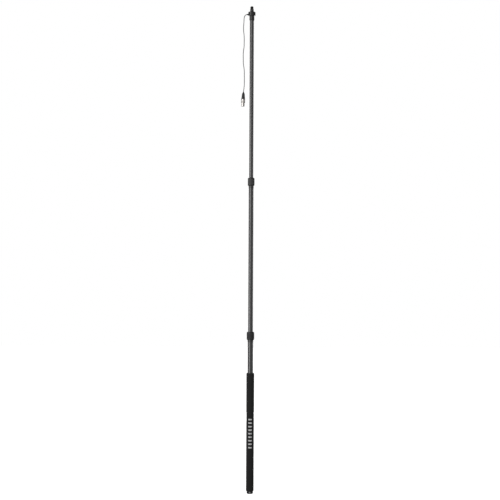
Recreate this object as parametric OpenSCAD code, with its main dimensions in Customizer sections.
// Telescopic carbon boom pole, fully extended: three tubes, two twist locks,
// a coiled cable inside, a plug on a short tail at the head and a socket in the butt.
// Frame: +Z up along the pole, origin at the centre of the butt's lower face,
// the tail cord hangs on the -X side. Millimetres.

/* [Pole] */
// Length from the butt's lower face to the tip of the stud
pole_length = 2500; // [2470:10:2560]
// Height of the lower tube's top end, inside the lower lock
lower_tube_top = 800; // [780:5:830]
// Height of the middle tube's top end, inside the upper lock
middle_tube_top = 1590; // [1560:5:1640]

/* [Tubes] */
// Outside diameter of the lower tube
lower_tube_d = 27.6; // [27.4:0.1:28]
// Outside diameter of the middle tube
middle_tube_d = 24.4; // [24.2:0.1:24.6]
// Outside diameter of the top tube
top_tube_d = 21; // [20.8:0.1:21.2]
// Wall of every tube
tube_wall = 1; // [0.9:0.05:1]

/* [Grip] */
// Outside diameter of the foam grip
grip_d = 40; // [36:0.5:44]
// Length of the foam grip
grip_length = 605; // [400:5:640]
// Radius of the grip's end roundings
grip_edge = 3; // [1:0.5:5]

/* [Locks] */
// Outside diameter of the lower lock's ribbed sleeve
lower_sleeve_d = 38.5; // [37:0.5:40]
// Outside diameter of the upper lock's ribbed sleeve
upper_sleeve_d = 34.5; // [33.5:0.5:36]
// Ribs around each sleeve
sleeve_ribs = 26; // [16:2:30]
// Fingers of each collet
collet_fingers = 6; // [4:1:8]
// Length of each guide bush
bush_length = 44; // [30:1:50]

/* [Butt] */
// Outside diameter of the butt cap
butt_cap_d = 33; // [31:0.5:36]
// Height of the butt cap
butt_cap_h = 13; // [13:0.5:15]
// Screws that hold the butt cap
butt_screw_count = 3; // [3:1:4]

/* [Head] */
// Outside diameter of the head block
head_d = 37; // [36:0.5:40]
// Outside diameter of the neck under the head block
neck_d = 25; // [24:0.5:26]
// Major diameter of the 5/8 inch microphone thread
mic_thread_d = 15.88; // [15.8:0.01:15.9]
// Major diameter of the 3/8 inch stud
stud_d = 9.525; // [9.4:0.005:9.53]
// Screws in the head's cover
head_screw_count = 4; // [3:1:4]

/* [Tail] */
// Diameter of the cable
cord_d = 3.6; // [3:0.1:3.6]
// Outside diameter of the plug's shell
plug_d = 20; // [19.5:0.1:20.5]
// Lean of the hanging plug, its nose towards -X
plug_lean = 2.5; // [2.5:0.1:2.6]
// Outside diameter of the coiled cable
coil_d = 15; // [14:0.5:15]

/* [Hidden] */
$fn = 96;
glue = 0.05;          // bond line between glued or seated pieces
run_gap = 0.07;       // radial running clearance of the guide bushes
free_gap = 0.3;       // radial gap between pieces that pass without touching
cord_r = cord_d / 2;
cord_bore_r = cord_r + 0.1;

// each lock: [top end of the outer tube, outer tube's radius, inner tube's radius, sleeve's radius]
LOWER = [lower_tube_top, lower_tube_d / 2, middle_tube_d / 2, lower_sleeve_d / 2];
UPPER = [middle_tube_top, middle_tube_d / 2, top_tube_d / 2, upper_sleeve_d / 2];
function lock_z(lock) = lock[0];
function outer_r(lock) = lock[1];
function outer_bore(lock) = lock[1] - tube_wall;
function inner_r(lock) = lock[2];
function inner_bore(lock) = lock[2] - tube_wall;
function sleeve_r(lock) = lock[3];
function thread_r(lock) = outer_r(lock) + 1.7;
function nut_bore(lock) = thread_r(lock) + 0.25;
function rim_r(lock) = sleeve_r(lock) - 0.4;
function core_r(lock) = sleeve_r(lock) - 1.6;

// heights inside a lock, from the outer tube's top end
nut_foot = -12;
nut_head = 30;
sleeve_foot = -6;
sleeve_head = 24;
collet_foot = 2.5;
collet_head = 24;
stop_top = -0.3;
stop_foot = -5;
bush_head = stop_foot - 0.2;
bush_foot = bush_head - bush_length;
tube_foot = bush_foot - 1;
end_flange = 3.8;

// head, measured down from the tip
adapter_top = pole_length - 2.6;
head_top = pole_length - 29;
cover_foot = head_top - 9;
block_foot = head_top - 20;
neck_foot = head_top - 43.5;
neck_ring_z = neck_foot + 7.5;
top_tube_top = head_top - 25;
cable_exit_z = head_top - 13.5;
washer_foot = head_top + 0.05;
adapter_foot = washer_foot + 1.45;
flute_h = 12;
cover_screw_pitch_r = 12.6;
head_cavity_r = 9;
lead_bend_r = 8.5;
grommet_tip_x = -26;

// coil: it stretches in two spans that meet inside the middle tube
coil_foot = 60;
coil_joint = 1200;
coil_head = head_top - 59;
anchor_h = 10;

// butt
bumper_r = [13, 15];
bumper_h = 3;
cap_foot = 1;
butt_screw_z = 8.8;
lip_top = 4.5;
socket_top = 48;
module_r = 10.5;
cavity_r = 8.2;
insert_foot = 16;
contact_pitch_r = 4.05;
pin_r = 1.19;
contact_angles = [90, 210, 330];

// plug, in its own frame: nose at the bottom, +Z towards the cord
plug_foot = [-44.7, 0, head_top - 485];
nose_r = 8.3;
nose_h = 13.5;
groove_h = 3;
shell_h = 37;
plug_h = 75;
latch_w = 7.6;
latch_z = [18.7, 30.3];

// tail cord: points down its middle, in x, y and height from 31 below the head's top face
route_z = head_top - 31;
route = [
    [-12, 0, 17.5], [-20, 0, 17.5], [-26, 0, 17.5], [-31, 0, 15.5], [-35.5, 0, 11],
    [-38.5, 0, 4.5], [-40, 0.5, -3], [-40.5, 1, -14], [-41.5, 1.5, -32], [-42.5, 2, -50],
    [-42, 2, -68], [-40, 1.5, -85], [-39, 1, -104], [-39, 0, -128], [-39.5, -1, -148],
    [-42, -1.5, -166], [-43.5, -2, -184], [-43.5, -2, -208], [-42.5, -1.5, -236],
    [-40, -1, -254], [-38, 0, -272], [-37.5, 0.5, -305], [-37.5, 1, -340],
    [-39, 0.5, -360], [-41, 0, -376], [-42, 0, -394], [-43, 0, -418]
];

// a smooth curve through the route: two rings on each stretch between points
rings_per_span = 2;
cord_sides = 8;
function at(i) = route[max(0, min(len(route) - 1, i))];
function smooth(i, t) = 0.5 * (2 * at(i) + (at(i + 1) - at(i - 1)) * t
    + (2 * at(i - 1) - 5 * at(i) + 4 * at(i + 1) - at(i + 2)) * t * t
    + (3 * at(i) - at(i - 1) - 3 * at(i + 1) + at(i + 2)) * t * t * t);
cord_line = [for (i = [0 : len(route) - 2]) for (k = [0 : rings_per_span - 1])
    smooth(i, k / rings_per_span), at(len(route) - 1)];
function unit(v) = v / norm(v);
function heading(p, i) = unit(p[min(i + 1, len(p) - 1)] - p[max(i - 1, 0)]);
function ring(p, i, r) = let (t = heading(p, i), u = unit(cross(t, [0, 1, 0])), v = cross(t, u))
    [for (k = [0 : cord_sides - 1])
        p[i] + r * (cos(360 * k / cord_sides) * u + sin(360 * k / cord_sides) * v)];

carbon = "#2b2c2f";
foam = "#232325";
anodised = "#1f2023";
rubber = "#18181a";
acetal = "#e6e2d8";
nylon = "#141416";
nickel = "#cfcfc6";
steel = "#9a9ca0";
brass = "#b9974f";
gold = "#c9a545";
pvc = "#3c3c3e";

// ---- shared shapes ----

// points along an arc, for rounded corners in an outline
function arc(c, r, from, to, steps = 6) =
    [for (i = [0 : steps]) let (a = from + (to - from) * i / steps) c + r * [cos(a), sin(a)]];

module turned(points) rotate_extrude() polygon(points);

module pipe(r_out, r_in, z0, z1) translate([0, 0, z0]) difference() {
    cylinder(h = z1 - z0, r = r_out);
    translate([0, 0, -1]) cylinder(h = z1 - z0 + 2, r = r_in);
}

module around(count, start = 0) for (i = [0 : count - 1]) rotate([0, 0, start + 360 * i / count]) children();

// a bar along -X, from x0 inwards to x1 outwards
module spoke(r, x0, x1) translate([-x0, 0, 0]) rotate([0, -90, 0]) cylinder(h = x1 - x0, r = r);

module on_plug() translate(plug_foot) rotate([0, plug_lean, 0]) children();

module at_contacts() for (a = contact_angles) rotate([0, 0, a]) translate([contact_pitch_r, 0, 0]) children();

// ---- pieces of a twist lock, in heights from the outer tube's top end ----

module ferrule(lock) {
    ro = outer_r(lock) + glue;
    lip = inner_r(lock) + free_gap;
    seat = inner_r(lock) + 0.8;
    turned([
        [ro, -24], [outer_r(lock) + 0.3, -24], [outer_r(lock) + 0.6, -21],
        [outer_r(lock) + 0.6, nut_foot - 0.3],
        [outer_r(lock) + 1.2, nut_foot], [outer_r(lock) + 1.2, -10], [thread_r(lock), -9],
        [thread_r(lock), 5], [thread_r(lock) - 1, 6],
        [seat + 1.2, 6], [seat, 1.5], [lip, 1.5], [lip, glue], [ro, glue]
    ]);
}

module collet(lock) {
    r0 = inner_r(lock) + free_gap;
    cone = inner_r(lock) + 0.8;
    difference() {
        turned([
            [r0, collet_foot], [cone, collet_foot], [cone + 1.2, collet_foot + 4.5], [cone + 1.2, 12],
            [nut_bore(lock) - 0.35, 12.5], [nut_bore(lock) - 0.35, 15], [cone + 1.2, 15.5],
            [cone + 1.2, collet_head], [r0, collet_head]
        ]);
        around(collet_fingers) translate([0, -0.6, collet_foot - 1]) cube([40, 1.2, 18]);
    }
}

module thrust_ring(lock)
    pipe(nut_bore(lock) - 0.3, inner_r(lock) + 0.5, collet_head + glue, collet_head + 1.5);

module nut(lock) {
    shoulder = 5;
    lip = inner_r(lock) + 0.7;
    groove = inner_r(lock) + 2.35;
    turned(concat(
        [[nut_bore(lock), nut_foot], [sleeve_r(lock) - 2.4, nut_foot], [rim_r(lock), nut_foot + 4.5],
         [rim_r(lock), sleeve_foot], [core_r(lock), sleeve_foot], [core_r(lock), sleeve_head],
         [rim_r(lock), sleeve_head]],
        arc([rim_r(lock) - shoulder, nut_head - shoulder], shoulder, 0, 90),
        [[lip, nut_head], [lip, 29.05], [groove, 29.05], [groove, 26.45], [lip, 26.45],
         [lip, collet_head + 1.6], [nut_bore(lock), collet_head + 1.6]]
    ));
}

module nut_sleeve(lock) {
    r = sleeve_r(lock);
    r0 = core_r(lock) + glue;
    z0 = sleeve_foot + glue;
    z1 = sleeve_head - glue;
    difference() {
        turned([[r0, z0], [r - 0.5, z0], [r, z0 + 0.8], [r, z1 - 0.8], [r - 0.5, z1], [r0, z1]]);
        around(sleeve_ribs) translate([r + 0.2, 0, sleeve_foot - 1]) cylinder(h = 32, r = 0.9, $fn = 24);
    }
}

module wiper(lock) pipe(inner_r(lock) + 2.3, inner_r(lock) + free_gap, 26.5, 29);

module guide_bush(lock) difference() {
    pipe(outer_bore(lock) - run_gap, inner_r(lock) + run_gap, bush_foot, bush_head);
    translate([0, -0.75, bush_foot - 1]) cube([40, 1.5, bush_length + 2]);
}

module stop_ring(lock) pipe(outer_bore(lock) - 0.1, inner_r(lock) + 0.02, stop_foot, stop_top);

module end_cap(lock) turned([
    [coil_d / 2 + 0.6, tube_foot - end_flange], [outer_bore(lock) - 0.6, tube_foot - end_flange],
    [outer_bore(lock) - free_gap, tube_foot - end_flange + 0.6],
    [outer_bore(lock) - free_gap, tube_foot - glue],
    [inner_bore(lock) - glue, tube_foot - glue], [inner_bore(lock) - glue, tube_foot + 10],
    [coil_d / 2 + 0.6, tube_foot + 10]
]);

module in_lock(lock) translate([0, 0, lock_z(lock)]) children();

// ---- handle ----

module lower_tube() color(carbon)
    pipe(outer_r(LOWER), outer_bore(LOWER), butt_cap_h + glue, lower_tube_top);

module foam_grip() color(foam) {
    r0 = outer_r(LOWER) + glue;
    r = grip_d / 2;
    z0 = butt_cap_h + glue;
    z1 = butt_cap_h + grip_length;
    turned(concat(
        [[r0, z0]],
        arc([r - grip_edge, z0 + grip_edge], grip_edge, -90, 0),
        arc([r - grip_edge, z1 - grip_edge], grip_edge, 0, 90),
        [[r0, z1]]
    ));
}

module butt_cap() color(anodised) {
    r = butt_cap_d / 2;
    edge = 1.5;
    difference() {
        turned(concat(
            [[module_r - 0.7, cap_foot]],
            arc([r - edge, cap_foot + edge], edge, -90, 0),
            [[r, butt_cap_h - 0.6], [r - 0.6, butt_cap_h], [outer_bore(LOWER) - 0.2, butt_cap_h],
             [outer_bore(LOWER) - 0.2, lip_top], [module_r - 0.7, lip_top]]
        ));
        pipe(bumper_r[1] + glue, bumper_r[0] - glue, 0, bumper_h);
        around(butt_screw_count, 90) translate([0, 0, butt_screw_z]) {
            spoke(1.6, 8, 20);
            translate([-r + 1.6, 0, 0]) rotate([0, -90, 0]) cylinder(h = 1.7, r1 = 1.6, r2 = 3.2);
        }
    }
}

module butt_bumper() color(rubber) turned([
    [bumper_r[0], 0.5], [bumper_r[0] + 0.5, 0], [bumper_r[1] - 0.5, 0], [bumper_r[1], 0.5],
    [bumper_r[1], bumper_h - glue], [bumper_r[0], bumper_h - glue]
]);

module butt_socket() color(anodised) difference() {
    turned([
        [module_r + 0.1, lip_top + glue], [outer_bore(LOWER) - 0.3, lip_top + glue],
        [outer_bore(LOWER) - 0.3, butt_cap_h + 0.1], [outer_bore(LOWER) - glue, butt_cap_h + 0.1],
        [outer_bore(LOWER) - glue, socket_top], [11, socket_top], [11, 36], [4, 36], [4, 32],
        [module_r + 0.1, 32]
    ]);
    around(butt_screw_count, 90) translate([0, 0, butt_screw_z]) spoke(1.55, 8, 14);
}

module butt_screws() color(steel) around(butt_screw_count, 90) translate([0, 0, butt_screw_z]) difference() {
    union() {
        spoke(1.5, 10.9, butt_cap_d / 2 - 0.4);
        translate([-butt_cap_d / 2 + 1.6, 0, 0]) rotate([0, -90, 0]) cylinder(h = 1.4, r1 = 1.5, r2 = 2.8);
    }
    translate([-butt_cap_d / 2 + 1.3, 0, 0]) rotate([0, -90, 0]) cylinder(h = 3, r = 1.1, $fn = 6);
}

module xlr_out_shell() color(nickel) turned([
    [cavity_r, lip_top + 0.1], [module_r, lip_top + 0.1], [module_r, 31], [cavity_r, 31]
]);

module xlr_out_insert() color(nylon) difference() {
    translate([0, 0, insert_foot]) cylinder(h = 15, r = cavity_r - glue);
    at_contacts() translate([0, 0, insert_foot - 1]) cylinder(h = 17, r = pin_r + glue, $fn = 32);
}

module xlr_out_pins() color(gold) at_contacts() {
    translate([0, 0, 5]) cylinder(h = 26.5, r = pin_r, $fn = 32);
    translate([0, 0, 4]) cylinder(h = 1, r1 = 0.6, r2 = pin_r, $fn = 32);
}

module butt_lead() color(pvc) translate([0, 0, 35]) cylinder(h = coil_foot - 35, r = cord_r, $fn = 32);

module coil_anchor(r, z) pipe(r - glue, cord_bore_r, z, z + anchor_h);

module coil_anchor_lower() color(acetal) coil_anchor(outer_bore(LOWER), coil_foot - anchor_h);

module coil_lower() color(pvc)
    translate([0, 0, coil_foot]) cylinder(h = coil_joint - coil_foot, r = coil_d / 2);

module lower_ferrule() color(anodised) in_lock(LOWER) ferrule(LOWER);

// ---- lower lock ----

module lower_collet() color(acetal) in_lock(LOWER) collet(LOWER);
module lower_thrust_ring() color(brass) in_lock(LOWER) thrust_ring(LOWER);
module lower_nut() color(anodised) in_lock(LOWER) nut(LOWER);
module lower_nut_sleeve() color(rubber) in_lock(LOWER) nut_sleeve(LOWER);
module lower_wiper() color(rubber) in_lock(LOWER) wiper(LOWER);

// ---- middle section ----

module middle_guide_bush() color(acetal) in_lock(LOWER) guide_bush(LOWER);
module middle_tube() color(carbon)
    pipe(inner_r(LOWER), inner_bore(LOWER), lower_tube_top + tube_foot, middle_tube_top);
module middle_end_cap() color(nylon) in_lock(LOWER) end_cap(LOWER);
module middle_stop_ring() color(anodised) in_lock(LOWER) stop_ring(LOWER);
module upper_ferrule() color(anodised) in_lock(UPPER) ferrule(UPPER);
module coil_upper() color(pvc)
    translate([0, 0, coil_joint]) cylinder(h = coil_head - coil_joint, r = coil_d / 2);

// ---- upper lock ----

module upper_collet() color(acetal) in_lock(UPPER) collet(UPPER);
module upper_thrust_ring() color(brass) in_lock(UPPER) thrust_ring(UPPER);
module upper_nut() color(anodised) in_lock(UPPER) nut(UPPER);
module upper_nut_sleeve() color(rubber) in_lock(UPPER) nut_sleeve(UPPER);
module upper_wiper() color(rubber) in_lock(UPPER) wiper(UPPER);

// ---- top section and head ----

module top_guide_bush() color(acetal) in_lock(UPPER) guide_bush(UPPER);
module top_tube() color(carbon)
    pipe(inner_r(UPPER), inner_bore(UPPER), middle_tube_top + tube_foot, top_tube_top);
module top_end_cap() color(nylon) in_lock(UPPER) end_cap(UPPER);
module top_stop_ring() color(anodised) in_lock(UPPER) stop_ring(UPPER);

module head_body() color(anodised) {
    r = head_d / 2;
    neck = neck_d / 2;
    difference() {
        turned(concat(
            [[inner_r(UPPER) + glue, neck_foot], [neck - 0.6, neck_foot], [neck, neck_foot + 0.6]],
            [[neck, block_foot - 2]],
            arc([neck + 2, block_foot - 2], 2, 180, 90, 4),
            arc([r - 2.5, block_foot + 2.5], 2.5, -90, 0, 4),
            [[r, cover_foot], [head_cavity_r, cover_foot], [head_cavity_r, top_tube_top + glue],
             [inner_r(UPPER) + glue, top_tube_top + glue]]
        ));
        translate([0, 0, neck_ring_z]) rotate_extrude() translate([neck - 0.4, 0]) circle(r = 1.15, $fn = 24);
        translate([0, 0, cable_exit_z]) spoke(3.3, 5, 25);
        around(head_screw_count, 45) translate([cover_screw_pitch_r, 0, cover_foot - 8])
            cylinder(h = 10, r = 1.3, $fn = 32);
    }
}

module head_cover() color(anodised) {
    r = head_d / 2;
    shoulder = 4;
    difference() {
        turned(concat(
            [[0, cover_foot + glue], [r, cover_foot + glue], [r, head_top - shoulder]],
            arc([r - shoulder, head_top - shoulder], shoulder, 0, 90),
            [[0, head_top]]
        ));
        translate([0, 0, cover_foot - 1]) cylinder(h = 12, r = stud_d / 2 + 0.02);
        around(head_screw_count, 45) translate([cover_screw_pitch_r, 0, 0]) {
            translate([0, 0, cover_foot - 1]) cylinder(h = 12, r = 1.35, $fn = 32);
            translate([0, 0, head_top - 1.45]) cylinder(h = 1.5, r1 = 1.35, r2 = 2.5, $fn = 32);
        }
    }
}

module head_screws() color(steel) around(head_screw_count, 45) translate([cover_screw_pitch_r, 0, 0])
    difference() {
        union() {
            translate([0, 0, cover_foot - 7]) cylinder(h = 15, r = 1.25, $fn = 32);
            translate([0, 0, head_top - 1.4]) cylinder(h = 1.2, r1 = 1.25, r2 = 2.3, $fn = 32);
        }
        translate([0, 0, head_top - 1.3]) cylinder(h = 3, r = 0.95, $fn = 6);
    }

module neck_ring() color(rubber) translate([0, 0, neck_ring_z])
    rotate_extrude() translate([neck_d / 2 - 0.4, 0]) circle(r = 1.1, $fn = 24);

module cable_grommet() color(rubber) translate([0, 0, cable_exit_z]) difference() {
    union() {
        spoke(3.2, 9.5, 19);
        spoke(4.2, head_d / 2 + glue, 20);
        translate([-20, 0, 0]) rotate([0, -90, 0])
            cylinder(h = -grommet_tip_x - 20, r1 = 3.4, r2 = cord_bore_r + 1);
    }
    spoke(cord_bore_r, 5, 30);
    translate([-19, 0, 0]) rotate([0, -90, 0]) cylinder(h = 8, r1 = cord_bore_r, r2 = cord_bore_r + 0.5);
}

module coil_anchor_upper() color(acetal) coil_anchor(inner_bore(UPPER), coil_head);

module head_lead() color(pvc) {
    bend_foot = cable_exit_z - lead_bend_r;
    translate([0, 0, coil_head]) cylinder(h = bend_foot - coil_head, r = cord_r, $fn = 32);
    translate([-lead_bend_r, 0, bend_foot]) rotate([90, 0, 0])
        rotate_extrude(angle = 90) translate([lead_bend_r, 0]) circle(r = cord_r, $fn = 32);
    translate([0, 0, cable_exit_z]) spoke(cord_r, lead_bend_r, -route[0][0] - glue);
}

module thread_stud() color(steel) {
    dog_r = 3.1;
    translate([0, 0, cover_foot + 0.5]) cylinder(h = pole_length - 3.3 - cover_foot, r = stud_d / 2);
    translate([0, 0, pole_length - 2.8]) cylinder(h = 0.4, r1 = stud_d / 2, r2 = dog_r + 0.6);
    translate([0, 0, pole_length - 2.5]) cylinder(h = 2.1, r = dog_r);
    translate([0, 0, pole_length - 0.4]) cylinder(h = 0.4, r1 = dog_r, r2 = dog_r - 0.4);
}

module adapter_washer() color(nylon) pipe(9.2, stud_d / 2 + free_gap, washer_foot, washer_foot + 1.4);

module thread_adapter() color(anodised) {
    foot_r = 9.3;
    edge = 0.5;
    flutes = 24;
    chamfer = 0.8;
    bore = stud_d / 2 + run_gap;
    thread = mic_thread_d / 2;
    difference() {
        turned([
            [bore, adapter_foot], [foot_r - edge, adapter_foot], [foot_r, adapter_foot + edge],
            [foot_r, adapter_foot + flute_h - edge], [foot_r - edge, adapter_foot + flute_h],
            [thread, adapter_foot + flute_h], [thread, adapter_top - chamfer],
            [thread - chamfer, adapter_top], [bore, adapter_top]
        ]);
        around(flutes) translate([foot_r + 0.2, 0, adapter_foot - 1])
            cylinder(h = flute_h + 2, r = 0.5, $fn = 16);
    }
}

// ---- tail: cord and plug ----

module cord_tail() color(pvc) translate([0, 0, route_z]) {
    n = len(cord_line);
    points = [for (i = [0 : n - 1]) each ring(cord_line, i, cord_r)];
    sides = [for (i = [0 : n - 2]) for (k = [0 : cord_sides - 1])
        let (a = i * cord_sides + k, b = i * cord_sides + (k + 1) % cord_sides)
        [a, a + cord_sides, b + cord_sides, b]];
    ends = [
        [for (k = [0 : cord_sides - 1]) k],
        [for (k = [cord_sides - 1 : -1 : 0]) (n - 1) * cord_sides + k]
    ];
    polyhedron(points, concat(sides, ends));
}

module tail_boot() color(rubber) on_plug() turned([
    [7, 31], [8.3, 31], [8.3, shell_h + glue], [9.6, shell_h + glue], [9.5, 40], [8.7, 45], [8.1, 50],
    [7.8, 57], [7.3, 62], [6.4, 65.5], [4.6, 68.5], [3.3, 71], [cord_bore_r + 1, plug_h],
    [cord_bore_r + 0.4, plug_h], [cord_bore_r + 0.4, 53], [7, 51]
]);

module tail_chuck() color(acetal) on_plug() difference() {
    turned([
        [cord_bore_r + 0.3, 34], [6.6, 34], [6.8, 36], [6.8, 46], [5.2, 50.5], [cord_bore_r + 0.3, 50.5]
    ]);
    around(2) translate([-10, -0.5, 40]) cube([20, 1, 20]);
    rotate([0, 0, 90]) translate([-10, -0.5, 40]) cube([20, 1, 20]);
}

module tail_shell() color(nickel) on_plug() difference() {
    turned([
        [7.3, 0], [nose_r - 0.6, 0], [nose_r, 0.6], [nose_r, nose_h], [7.9, nose_h],
        [7.9, nose_h + groove_h], [plug_d / 2 - 0.5, nose_h + groove_h],
        [plug_d / 2, nose_h + groove_h + 0.5],
        [plug_d / 2, shell_h - 1], [plug_d / 2 - 0.5, shell_h], [8.4, shell_h], [8.4, nose_h + groove_h],
        [7.3, nose_h + groove_h - 1]
    ]);
    translate([-latch_w / 2 - 0.2, -12, latch_z[0] - 0.2])
        cube([latch_w + 0.4, 8, latch_z[1] - latch_z[0] + 0.4]);
}

module tail_insert() color(nylon) on_plug() difference() {
    translate([0, 0, 1]) cylinder(h = 14, r = 7.25);
    at_contacts() translate([0, 0, -1]) cylinder(h = 18, r = 1.4, $fn = 32);
}

module tail_contacts() color(gold) on_plug() at_contacts() difference() {
    translate([0, 0, 3]) cylinder(h = 16, r = 1.36, $fn = 32);
    translate([0, 0, 2]) cylinder(h = 12, r = 1.2, $fn = 32);
}

module tail_wires() color(brass) on_plug() at_contacts() translate([0, 0, 19.2]) rotate([0, -11, 0])
    cylinder(h = 15, r = 0.5, $fn = 16);

module tail_latch() color(nickel) on_plug() difference() {
    translate([-latch_w / 2, -plug_d / 2 - 0.8, latch_z[0]]) cube([latch_w, 2.6, latch_z[1] - latch_z[0]]);
    for (i = [0 : 3]) translate([-latch_w, -plug_d / 2 - 1.1, latch_z[0] + 2.5 + 2.2 * i])
        rotate([45, 0, 0]) cube([2 * latch_w, 0.6, 0.6]);
}

module tail_latch_spring() color(steel) on_plug() translate([-1.5, 0, 0]) rotate([90, 0, 90])
    linear_extrude(3) polygon([
        [-8.2, 29.5], [-8.2, 27], [-7.9, 27], [-7.3, 20.5], [-7.0, 20.5], [-7.6, 27.5], [-7.9, 29.5]
    ]);

lower_tube();
foam_grip();
butt_cap();
butt_bumper();
butt_socket();
butt_screws();
xlr_out_shell();
xlr_out_insert();
xlr_out_pins();
butt_lead();
coil_anchor_lower();
coil_lower();
lower_ferrule();
lower_collet();
lower_thrust_ring();
lower_nut();
lower_nut_sleeve();
lower_wiper();
middle_guide_bush();
middle_tube();
middle_end_cap();
middle_stop_ring();
upper_ferrule();
coil_upper();
upper_collet();
upper_thrust_ring();
upper_nut();
upper_nut_sleeve();
upper_wiper();
top_guide_bush();
top_tube();
top_end_cap();
top_stop_ring();
head_body();
head_cover();
head_screws();
neck_ring();
cable_grommet();
coil_anchor_upper();
head_lead();
thread_stud();
adapter_washer();
thread_adapter();
cord_tail();
tail_boot();
tail_chuck();
tail_shell();
tail_insert();
tail_contacts();
tail_wires();
tail_latch();
tail_latch_spring();
